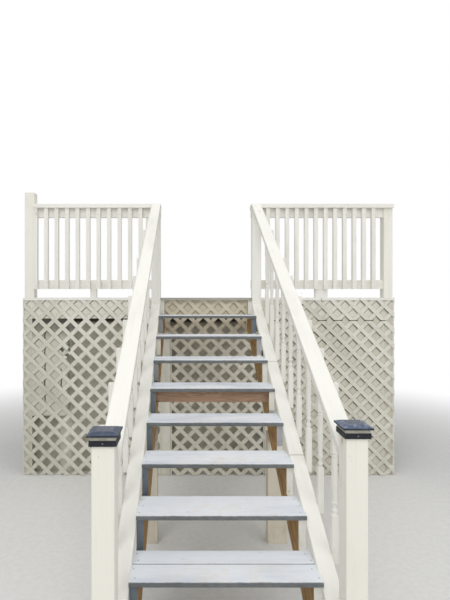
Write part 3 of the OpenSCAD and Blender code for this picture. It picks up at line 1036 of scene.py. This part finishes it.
@dataclass(frozen=True)
class Openings:
    """The even grid of openings that some lattice panels share, sizes in millimetres."""

    panels: tuple[str, ...]
    # The middle of one opening, and half the distance to the next one in its row
    x: float
    z: float
    half: float
    # Where these openings start and end across the deck
    start: float
    end: float
    slat: float = 38.0
    reach: int = 30

    def opening_shadows(self, graph: Graph) -> Value:
        """Painted shadow behind the openings' edges, most under the two upper ones.

        Args:
            graph: The material's nodes.

        Returns:
            How dark the painted shadow is, 0 to 1.
        """
        centre, pitch = spot(self.x, 0, self.z), 2 * self.half * MM
        edge = 0.5 - self.slat / (math.sqrt(8) * self.half)
        dx, dz = graph.x - centre.x, graph.z - centre.z
        both = [((way / pitch + 0.5).fraction() - 0.5) for way in (dx + dz, dz - dx)]
        upper = both[0].most(both[1]).ramp(edge - 0.11, edge - 0.06)
        lower = (0 - both[0]).most(0 - both[1]).ramp(edge - 0.08, edge - 0.04)
        past_start, past_end = (graph.x.above(frame_x(x)) for x in (self.start, self.end))
        return upper.most(lower * 0.4) * (past_start * (1 - past_end))

    def crossings(self, node: str) -> list[Vector]:
        """Where the slats of a panel cross, on its front face and away from its edges.

        Args:
            node: The panel's name.

        Returns:
            The places.
        """
        panel, (low, high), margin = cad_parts[node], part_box(node), 0.02
        places = []
        for column in range(-self.reach, self.reach + 1):
            for row in range(-self.reach, self.reach + 1):
                place = spot(self.x + column * self.half, LATTICE_FRONT, self.z + row * self.half)
                inside = all(low[i] + margin < place[i] < high[i] - margin for i in (0, 2))
                if (column + row) % 2 and inside and self.on_wood(panel, place):
                    places.append(place)
        return places

    @staticmethod
    def on_wood(panel: bpy.types.Object, place: Vector) -> bool:
        """Says whether a place lies on a panel's front face."""
        hit, where, _, _ = panel.ray_cast(place + Vector((0, -0.05, 0)), Vector((0, 1, 0)))
        return hit and abs(where.y - place.y) < 0.0005


GRIDS = (
    Openings(("lattice_left",), -1770.0, 1733.0, 79.90, -9000.0, -406.0),
    Openings(("lattice_centre",), -337.0, 1695.0, 77.07, -406.0, 640.0),
    Openings(("lattice_right_strip", "lattice_right"), 781.0, 1717.0, 78.49, 640.0, 9000.0),
)


def opening_shadows(graph: Graph) -> Value:
    """Patchy painted shadow behind the edges of all the lattice's openings."""
    patchy = graph.noise(graph.place, 2.6, 3.0, 0.6).ramp(0.3, 0.6) * 0.5 + 0.5
    return graph.any_of([grid.opening_shadows(graph) for grid in GRIDS]) * patchy


def painted_stair_shade(graph: Graph) -> Value:
    """Painted shade under the steps, tinted brown: only between the stringers, and more the higher
    it is.
    """
    between = (graph.x - frame_x(0)).size().ramp(0.5, 0.46)
    return between * (graph.z.ramp(1.2, 1.55) * 0.4 + 0.2)


@dataclass(frozen=True)
class Skirt:
    """The lattice skirt and the boards between and behind its panels, in millimetres."""

    # Gaps between the boards that close the left panel: across, lowest and highest point
    cracks_at: tuple[Place, ...] = ((-1632.0, 720.0, 1500.0), (-1468.0, 800.0, 1100.0))
    # Broken places on the left panel: across and up, and how far they reach
    blots_at: tuple[Place, ...] = (
        (-1458.0, 1270.0, 26.0), (-1382.0, 1270.0, 22.0), (-1402.0, 1215.0, 24.0))
    # Two corners of the strip beside the boards that close the left panel
    strip: tuple[Place, Place] = ((-1431.0, 38.0, 602.0), (-1405.0, 46.0, 1583.0))
    slat_pitch: float = 113.0
    # The dashed shadow under the right strip: its height, and the pitch of its dashes
    shadow_height: float = 1565.0
    dash_pitch: float = 157.0
    # Where the boards between the panels are nailed
    nails_across: tuple[float, ...] = (-438.0, -375.0, 609.0, 672.0)
    nails_up: range = range(120, 1450, 220)
    nail_head: Head = Head(3.6, 0.5)

    def lattice_finish(self) -> bpy.types.Material:
        """Soiled white paint with a tone of its own on each slat, with painted light and shade.

        Returns:
            The material.
        """
        graph = Graph("lattice_white")
        board = graph.board(Grain.SLATS)
        tint = graph.chance((board.across / (self.slat_pitch * MM)).floor())
        slats = SKIRT_WHITE.surface(graph, Grain.SLATS, tint)
        rear = (graph.y - frame_y(LATTICE_MIDDLE)).ramp(-0.0002, 0.0002)
        # Painted shade: the left end of the left panel is darker and greener
        painted_left_shade = graph.x.ramp(frame_x(-1380), frame_x(-1560))
        surface = slats.soiled(graph.layers(
            slats.colour,
            # Painted light: the rear layer of slats is lighter, offsetting the front layer's shade
            (rear * 0.7, shade(248, 245, 234)),
            (painted_left_shade * 0.4, shade(186, 188, 170)),
            # Painted shade under the steps, tinted brown
            (painted_stair_shade(graph), shade(218, 205, 175))))
        gap = surface.soiled(GAP_DARK, 0.003)
        return graph.finish(surface.under(gap, self.blots(graph) * 0.85))

    def cracks(self, graph: Graph) -> Value:
        """Where the boards that close the left panel stand apart, as ragged upright lines.

        Args:
            graph: The material's nodes.

        Returns:
            1 in a gap and 0 off it.
        """
        ragged = (graph.noise(graph.place, 14.0, 3.0, 0.6) - 0.5) * 0.02
        width, fade = 0.016, 0.05
        masks = []
        for x, foot, head in self.cracks_at:
            low, high = foot * MM, head * MM
            line = graph.seam(graph.x + ragged, frame_x(x), width)
            masks.append(line * graph.z.ramp(low, low + fade) * graph.z.ramp(high, high - fade))
        return graph.any_of(masks)

    def blots(self, graph: Graph) -> Value:
        """Where the left panel is broken and dark.

        Args:
            graph: The material's nodes.

        Returns:
            1 in a broken place and 0 off it.
        """
        ragged = (graph.noise(graph.place, 34.0, 3.0, 0.7) - 0.5) * 0.05
        masks = []
        for x, z, reach in self.blots_at:
            centre = spot(x, 0, z)
            away = ((graph.x - centre.x).size() + (graph.z - centre.z).size()) + ragged
            masks.append(away.ramp(reach * MM * 1.2, reach * MM * 0.8))
        return graph.any_of(masks)

    def backing_finish(self) -> bpy.types.Material:
        """Pale boards with dark cracks on the left and a dashed shadow under the right strip, in
        painted light and shade.

        Returns:
            The material.
        """
        graph = Graph("backing_white")
        boards = BACK_WHITE.surface(graph, Grain.UP)
        left = graph.x.ramp(-0.5, -0.6)
        near = graph.y.ramp(frame_y(80), frame_y(60))
        sheet = (1 - near) * graph.facing[1].ramp(-0.2, -0.6)
        corner = graph.seam(graph.x, frame_x(-1445), 0.16)
        closed = near * left
        surface = boards.soiled(graph.layers(
            boards.colour,
            # Painted light: the boards right behind the lattice are lighter, offsetting their shade
            (closed * 0.6, shade(210, 212, 194)),
            (near * (1 - left) * 0.55, shade(222, 218, 202)),
            # Painted shade: the left boards darken towards the deck, darkest right under it
            (closed * graph.z.ramp(1.33, 1.5) * 0.75, shade(92, 88, 75)),
            (closed * graph.z.ramp(1.525, 1.55) * 0.8, shade(40, 38, 34)),
            # Painted light on the sheet beside the left boards, and painted shade on its top under
            # the deck
            (sheet * corner * 0.9, shade(250, 248, 238)),
            (sheet * graph.z.ramp(1.515, 1.56) * 0.9, shade(34, 32, 28))))
        # Painted shadow behind the openings' edges, weaker on the left
        shadowed_rims = opening_shadows(graph) * near * (1 - left * 0.25) * 0.95
        surface = surface.under(surface.soiled(OPENING_SHADOW), shadowed_rims)
        dashes = (graph.x / (self.dash_pitch * MM) + 0.35).fraction().above(0.4)
        shadow = graph.seam(graph.z, spot(0, 0, self.shadow_height).z, 0.012)
        gaps = graph.any_of(
            [self.cracks(graph), shadow * (1 - left) * dashes, self.blots(graph)]) * near
        return graph.finish(surface.under(surface.soiled(GAP_DARK, 0.003), gaps * 0.9))

    def closing_strip(self) -> bpy.types.Object:
        """Models the thin strip beside the boards that close the left panel.

        Returns:
            The strip.
        """
        low, high = (spot(*corner) for corner in self.strip)
        strip = block(high - low, (low + high) / 2, 0.8 * MM, 2)
        strip.name = strip.data.name = "closing_strip"
        return strip

    def nails(self) -> Spots:
        """Where the boards between the panels are nailed."""
        return [(spot(x, LATTICE_FRONT, z), FORWARD)
                for x in self.nails_across for z in self.nails_up]

    def staples(self) -> Spots:
        """Where the slats of every panel are stapled, at their crossings."""
        return [(place, FORWARD)
                for grid in GRIDS for node in grid.panels for place in grid.crossings(node)]

    def build(self) -> None:
        """Dresses the skirt and drives its nails and staples."""
        dress(self.lattice_finish(), *(node for grid in GRIDS for node in grid.panels))
        dress(coated("skirt_board_white", SKIRT_WHITE, Grain.UP), "lattice_boards")
        backing = self.backing_finish()
        dress(backing, "backing")
        hang(self.closing_strip(), backing)
        rusty = Metal("skirt_nail_painted", shade(176, 172, 158), shade(120, 92, 70), 0.6)
        painted = rusty.finish()
        hang(self.nail_head.drive("skirt_nails", self.nails()), painted)
        hang(Staple().drive("lattice_staples", self.staples()), painted)


@dataclass(frozen=True)
class DeckFrame:
    """Deck boards, rim joists, joists and legs, sizes in millimetres."""

    edge_joints: tuple[float, ...] = (1165.0, 1553.0)
    joists: tuple[int, ...] = (-1831, -1624, -1218, -812, -406, 0, 406, 812, 1218, 1624, 1884)
    rows: int = 8
    # How far behind a board's front edge its screws are
    screws_behind: tuple[float, ...] = (28.0, 112.0)
    stagger: float = 9.0
    screw_head: Head = Head(4.2, 0.4, recess=0.9)

    def deck_finish(self) -> bpy.types.Material:
        """Worn blue-grey boards whose front edge is painted white, with butt joints in it.

        Returns:
            The material.
        """
        graph = Graph("deck_board_paint")
        row = ((graph.y - frame_y(-NOSING)) / (DECK_PITCH * MM)).floor()
        top = DECK_GREY.surface(graph, Grain.ACROSS, graph.chance(row))
        edge = WHITE.surface(graph, Grain.ACROSS)
        middle = (graph.x - frame_x(0)).size().ramp(0.462, 0.458)
        edge = edge.under(MIDDLE_EDGE.surface(graph, Grain.ACROSS), middle)
        front = graph.facing[1].ramp(-0.35, -0.75)
        surface = top.under(edge, front)
        joints = graph.any_of(
            [graph.seam(graph.x, frame_x(x), 0.006) for x in self.edge_joints])
        gap = surface.soiled(shade(70, 66, 58), 0.003)
        return graph.finish(surface.under(gap, joints * front * 0.85))

    def rim_finish(self) -> bpy.types.Material:
        """White paint in front with painted shade and shadow, treated timber on the rear faces.

        Returns:
            The material.
        """
        graph = Graph("rim_joist_finish")
        bare = TREATED_TIMBER.surface(graph, Grain.ACROSS)
        white = SKIRT_WHITE.surface(graph, Grain.ACROSS)
        # Painted shade under the steps, tinted brown
        stair_shaded = graph.mix(painted_stair_shade(graph), white.colour, shade(206, 190, 160))
        white = white.soiled(stair_shaded)
        front = graph.facing[1].ramp(-0.3, -0.7)
        white = white.under(white.soiled(OPENING_SHADOW), opening_shadows(graph) * front * 0.75)
        return graph.finish(bare.under(white, graph.facing[1].ramp(0.6, 0.2)))

    def screws(self) -> Spots:
        """Where the deck boards are screwed down to the joists.

        Returns:
            Each screw's place, and the way that it looks.
        """
        places = []
        for x in self.joists:
            for row in range(self.rows):
                aside, front = x + self.stagger * (-1) ** row, DECK_PITCH * row - NOSING
                for back in self.screws_behind:
                    places.append((spot(aside, front + back, DECK_TOP), UP))
        return places

    def build(self) -> None:
        """Dresses the deck's frame and drives its screws."""
        dress(self.deck_finish(), "deck_boards")
        dress(self.rim_finish(), "rim_joists")
        dress(coated("joist_timber", TREATED_TIMBER, Grain.INTO), "joists")
        dress(coated("leg_white", BACK_WHITE, Grain.UP), "legs")
        heads = self.screw_head.drive("deck_screws", self.screws())
        hang(heads, Metal("deck_screw_steel", *BARE_STEEL).finish())


@dataclass(frozen=True)
class Lamp:
    """A square soft lamp that looks at the middle of the stairs, in metres and watts."""

    name: str
    place: Place
    side: float
    power: float
    aim: Place = (0.0, 0.0, 1.2)

    def hang(self) -> None:
        """Hangs the lamp."""
        data = bpy.data.lights.new(self.name, "AREA")
        data.size = self.side
        data.energy = self.power
        lamp = bpy.data.objects.new(self.name, data)
        lamp.location = self.place
        way = Vector(self.aim) - Vector(self.place)
        lamp.rotation_euler = way.to_track_quat("-Z", "Y").to_euler()
        bpy.context.scene.collection.objects.link(lamp)


@dataclass(frozen=True)
class Studio:
    """The pale floor, the soft lamps, the plain background and the camera."""

    # The photographer's place in millimetres, and the view in pixels
    eye: Place = (-175.0, -4391.0, 1802.0)
    focal: float = 436.9
    long_side: float = 600.0
    short_side: float = 450.0
    axis: tuple[float, float] = (188.7, 297.0)
    sensor: float = 36.0
    # The floor in metres, and how it fades away from the object, as squares of the distance
    floor_side: float = 60.0
    floor_drop: float = 0.0005
    fade: tuple[float, float] = (6.0, 45.0)
    sky: Colour = (0.95, 0.97, 1.0, 1.0)
    sky_strength: float = 0.42
    lamps: tuple[Lamp, ...] = (
        Lamp("key_lamp", (-2.5, -6.5, 6.0), 6.0, 270.0),
        Lamp("fill_lamp", (5.0, -5.0, 3.5), 5.0, 90.0),
        Lamp("top_lamp", (0.3, -0.8, 8.0), 6.0, 160.0))

    def camera(self) -> None:
        """Puts the camera where the photographer stood."""
        data = bpy.data.cameras.new("stair_view")
        data.sensor_width = self.sensor
        data.lens = self.focal * self.sensor / self.long_side
        data.shift_x = (self.short_side / 2 - self.axis[0]) / self.long_side
        data.shift_y = (self.axis[1] - self.long_side / 2) / self.long_side
        data.clip_end = 100.0
        camera = bpy.data.objects.new("stair_view", data)
        camera.location = spot(*self.eye)
        camera.rotation_euler = (math.pi / 2, 0, 0)
        bpy.context.scene.collection.objects.link(camera)
        bpy.context.scene.camera = camera

    def floor(self) -> None:
        """Lays a pale floor that fades to white away from the object."""
        deselect()
        bpy.ops.mesh.primitive_plane_add(size=self.floor_side, location=(0, 0, -self.floor_drop))
        floor = bpy.context.object
        bpy.ops.object.transform_apply(location=True, rotation=True, scale=True)
        floor.name = "floor"
        graph = Graph("pale_floor")
        speckle = graph.noise(graph.place, 24.0, 4.0, 0.6).ramp(0.3, 0.7)
        pale = graph.mix(speckle, shade(226, 225, 222), shade(232, 231, 228))
        matte = graph.node("ShaderNodeBsdfDiffuse", inputs={"Color": pale})
        white = graph.node(
            "ShaderNodeEmission", inputs={"Color": (1, 1, 1, 1), "Strength": 1.0})
        far = (graph.x * graph.x + graph.y * graph.y).ramp(*self.fade)
        seen = graph.node("ShaderNodeLightPath", output="Is Camera Ray")
        both = {0: far * seen, 1: matte, 2: white}
        graph.end("Material", graph.node("ShaderNodeMixShader", inputs=both))
        floor.data.materials.append(graph.material)

    def world(self) -> None:
        """Lights the object evenly from a sky that the camera and shiny things see as white."""
        world = bpy.data.worlds.new("plain_white")
        world.use_nodes = True
        nodes = Nodes(world.node_tree)
        seen = nodes.node("ShaderNodeLightPath", output="Is Camera Ray")
        for ray in ("Is Glossy Ray", "Is Transmission Ray"):
            seen = seen.most(nodes.node("ShaderNodeLightPath", output=ray))
        even, white = (
            nodes.node("ShaderNodeBackground", inputs={"Color": colour, "Strength": strength})
            for colour, strength in ((self.sky, self.sky_strength), ((1, 1, 1, 1), 1.0)))
        both = {0: seen, 1: even, 2: white}
        nodes.end("World", nodes.node("ShaderNodeMixShader", inputs=both))
        bpy.context.scene.world = world

    def build(self) -> None:
        """Sets up the view, the floor and the light."""
        bpy.context.scene.view_settings.view_transform = "Standard"
        self.camera()
        self.floor()
        self.world()
        for lamp in self.lamps:
            lamp.hang()


def main() -> None:
    """Builds the looks in order."""
    logging.basicConfig(level=logging.INFO, format="%(message)s")
    for part in (Studio(), Flight(), StairRails(), PostCaps(), Guard(), Skirt(), DeckFrame()):
        part.build()
        log.info("finished %s", type(part).__name__)


if __name__ == "__main__":
    main()
